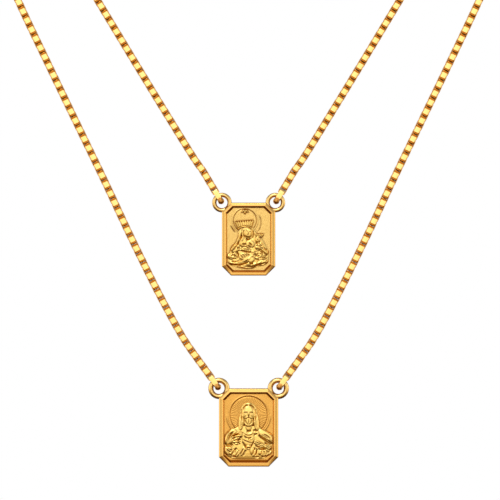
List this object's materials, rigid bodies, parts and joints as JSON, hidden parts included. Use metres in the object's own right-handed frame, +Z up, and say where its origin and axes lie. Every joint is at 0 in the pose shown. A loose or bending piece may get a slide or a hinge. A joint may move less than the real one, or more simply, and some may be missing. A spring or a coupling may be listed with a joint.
{
  "type": "scapular necklace with two medals",
  "caption": "Loop of fine gold-coloured box chain that hangs as two nested V shapes, each with a small cut-corner cast medal held by two ears.",
  "frame": {"origin": "the hang point, midway between the two rests and level with the underside of the chain where it turns over them", "axes": "+X to the viewer's right when looking at the medals' fronts, -Y towards that viewer, +Z up"},
  "size_m": [0.1342, 0.0097, 0.1582],
  "materials": {
    "medal_gold": "gold-plated casting, polished rim and ears, satin recess, bright relief",
    "chain_gold": "polished gold-plated flat strip"
  },
  "bodies": {
    "chain_loop": {"chain_left": "chain_gold", "chain_right": "chain_gold", "front_end_link_left": "chain_gold", "front_link_left_1": "chain_gold", "front_link_left_2": "chain_gold", "back_end_link_left": "chain_gold", "back_link_left_1": "chain_gold", "back_link_left_2": "chain_gold", "front_end_link_right": "chain_gold", "front_link_right_1": "chain_gold", "front_link_right_2": "chain_gold", "back_end_link_right": "chain_gold", "back_link_right_1": "chain_gold", "back_link_right_2": "chain_gold"},
    "front_medal": {"front_medal": "medal_gold"},
    "back_medal": {"back_medal": "medal_gold"}
  },
  "joints": [
    {"name": "front_medal_swing", "type": "hinge", "parent": "chain_loop", "child": "front_medal", "pos_m": [0, -0.004, -0.14329], "axis": [1, 0, 0], "range_deg": [-40, 40]},
    {"name": "back_medal_swing", "type": "hinge", "parent": "chain_loop", "child": "back_medal", "pos_m": [0, 0.004, -0.11314], "axis": [1, 0, 0], "range_deg": [-40, 40]}
  ]
}
